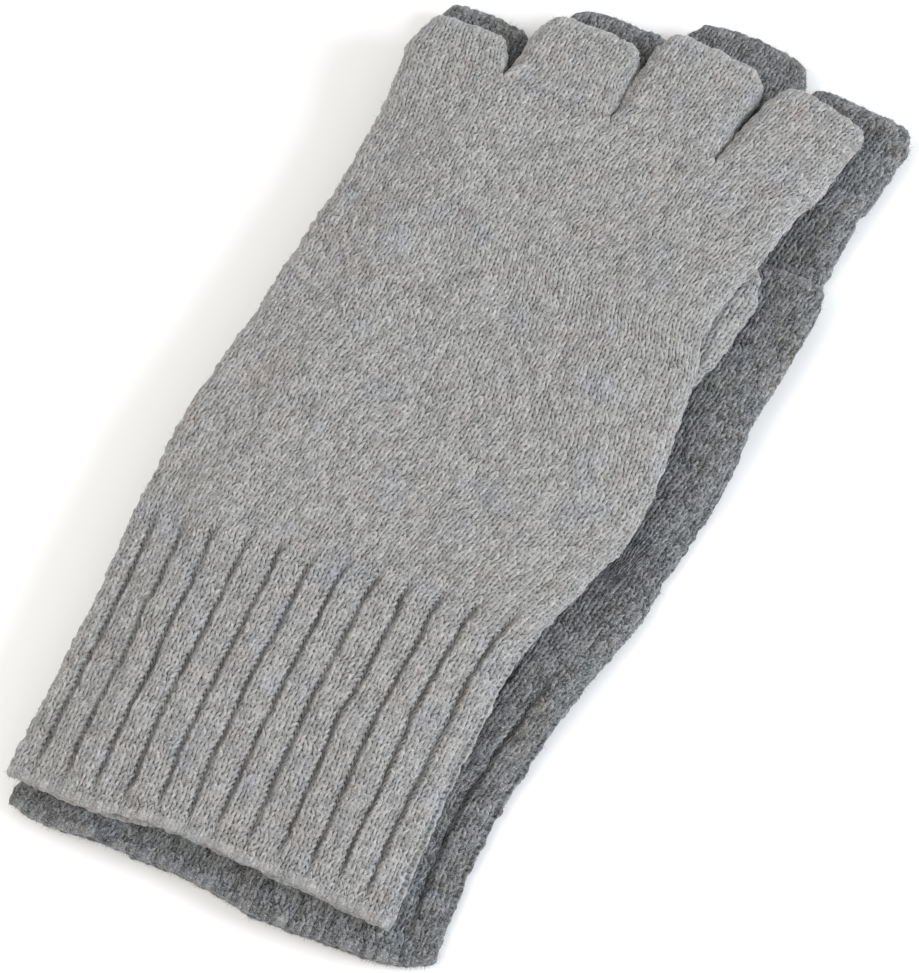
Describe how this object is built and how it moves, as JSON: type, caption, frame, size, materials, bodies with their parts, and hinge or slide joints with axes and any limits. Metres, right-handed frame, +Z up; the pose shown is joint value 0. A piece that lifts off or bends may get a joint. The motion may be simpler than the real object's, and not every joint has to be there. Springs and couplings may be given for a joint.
{
  "type": "fingerless gloves",
  "caption": "Pair of knitted half-finger gloves laid palm to palm, with ribbed cuffs, short open fingers and open thumbs.",
  "frame": {"origin": "centre of the pair's footprint on the surface it lies on", "axes": "+X across the hands to the thumb side, +Y from the cuffs to the fingers, +Z up, from the lower glove to the upper"},
  "size_m": [0.1154, 0.24, 0.0181],
  "materials": {
    "light_wool": "light grey melange wool, plain knitted with a ribbed cuff, matt and slightly fuzzy",
    "dark_wool": "dark grey melange wool with light flecks, plain knitted with a ribbed cuff, matt and slightly fuzzy"
  },
  "bodies": {
    "dark_glove": {"dark_hand": "dark_wool", "dark_cuff": "dark_wool", "dark_cuff_edge": "dark_wool", "dark_little_finger": "dark_wool", "dark_little_rim": "dark_wool", "dark_ring_finger": "dark_wool", "dark_ring_rim": "dark_wool", "dark_middle_finger": "dark_wool", "dark_middle_rim": "dark_wool", "dark_index_finger": "dark_wool", "dark_index_rim": "dark_wool"},
    "dark_thumb": {"dark_thumb": "dark_wool", "dark_thumb_rim": "dark_wool"},
    "light_glove": {"light_hand": "light_wool", "light_cuff": "light_wool", "light_cuff_edge": "light_wool", "light_little_finger": "light_wool", "light_little_rim": "light_wool", "light_ring_finger": "light_wool", "light_ring_rim": "light_wool", "light_middle_finger": "light_wool", "light_middle_rim": "light_wool", "light_index_finger": "light_wool", "light_index_rim": "light_wool"},
    "light_thumb": {"light_thumb": "light_wool", "light_thumb_rim": "light_wool"}
  },
  "joints": [
    {"name": "light_glove_lift", "type": "slide", "parent": "dark_glove", "child": "light_glove", "axis": [0, 0, 1], "range_m": [0, 0.06]},
    {"name": "dark_thumb_swing", "type": "hinge", "parent": "dark_glove", "child": "dark_thumb", "pos_m": [0.04349, 0.00418, 0.0068], "axis": [0, 0, 1], "range_deg": [-40, 0]},
    {"name": "light_thumb_swing", "type": "hinge", "parent": "light_glove", "child": "light_thumb", "pos_m": [0.03098, 0.00418, 0.0113], "axis": [0, 0, 1], "range_deg": [-40, 0]}
  ]
}
